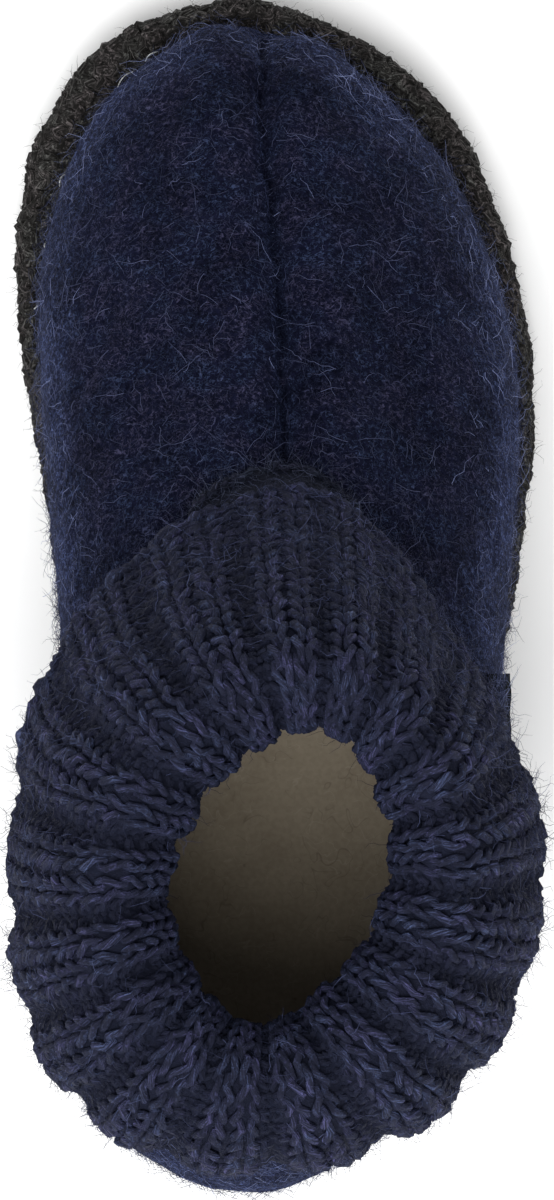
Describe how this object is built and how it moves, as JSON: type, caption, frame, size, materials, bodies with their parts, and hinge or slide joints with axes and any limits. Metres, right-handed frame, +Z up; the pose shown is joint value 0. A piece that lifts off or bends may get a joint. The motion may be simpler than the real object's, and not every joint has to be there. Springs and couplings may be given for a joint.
{
  "type": "slipper boot",
  "caption": "Child's right felted-wool slipper boot with a folded rib-knit cuff, a knitted edge band and a thin flat sole.",
  "frame": {"origin": "on the floor, under the middle of the shoe's length and width", "axes": "+Y towards the toe, +X towards the outer (lateral) side of this right shoe, +Z up"},
  "size_m": [0.0713, 0.1618, 0.1063],
  "materials": {
    "outsole_rubber": "matt rubber",
    "charcoal_knit": "knitted wool, lumpy",
    "beige_felt": "wool felt",
    "navy_felt": "boiled wool, hairy",
    "navy_knit": "rib-knit wool",
    "dark_tape": "woven tape"
  },
  "bodies": {
    "root": {"outsole": "outsole_rubber", "edge_band": "charcoal_knit", "insole": "beige_felt", "upper": "navy_felt", "cuff": "navy_knit", "side_tab": "dark_tape"}
  },
  "joints": []
}
